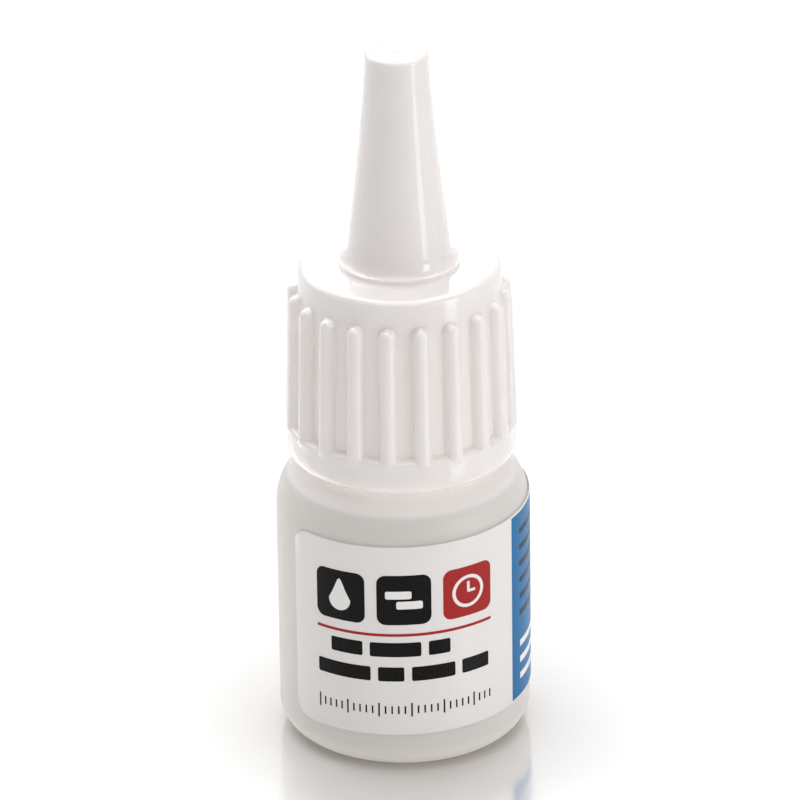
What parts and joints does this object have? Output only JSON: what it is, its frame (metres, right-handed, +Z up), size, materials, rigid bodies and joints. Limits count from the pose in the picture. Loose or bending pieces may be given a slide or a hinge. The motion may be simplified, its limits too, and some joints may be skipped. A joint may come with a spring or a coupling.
{
  "type": "glue dropper bottle",
  "caption": "Small round squeeze bottle of liquid glue with a ribbed screw collar, a dropper nozzle and a tall tapered cap.",
  "frame": {"origin": "centre of the base, on the surface the bottle stands on", "axes": "+Z up along the bottle's axis, -Y out of the middle of the label's pale panel"},
  "size_m": [0.0251, 0.0252, 0.0725],
  "materials": {
    "bottle": "translucent natural polyethylene, blow moulded, fine satin",
    "adhesive": "clear thin liquid",
    "dropper_nozzle": "translucent natural polyethylene, moulded",
    "screw_collar": "white polypropylene, glossy moulded",
    "spire_cap": "white polypropylene, glossy moulded",
    "wrap_label": "white plastic film printed in black, red and blue"
  },
  "bodies": {
    "bottle": {"bottle": "bottle", "adhesive": "adhesive", "wrap_label": "wrap_label"},
    "nozzle": {"dropper_nozzle": "dropper_nozzle"},
    "collar": {"screw_collar": "screw_collar"},
    "cap": {"spire_cap": "spire_cap"}
  },
  "joints": [
    {"name": "collar_rise", "type": "slide", "parent": "bottle", "child": "nozzle", "axis": [0, 0, 1], "range_m": [0, 0.006]},
    {"name": "collar_turn", "type": "hinge", "parent": "nozzle", "child": "collar", "pos_m": [0, 0, 0.03], "axis": [0, 0, 1], "range_deg": [0, 720]},
    {"name": "cap_pull", "type": "slide", "parent": "nozzle", "child": "cap", "axis": [0, 0, 1], "range_m": [0, 0.022]}
  ],
  "couplings": [
    {"joint": "collar_rise", "follows": "collar_turn", "m_per_rad": 0.00047746}
  ]
}
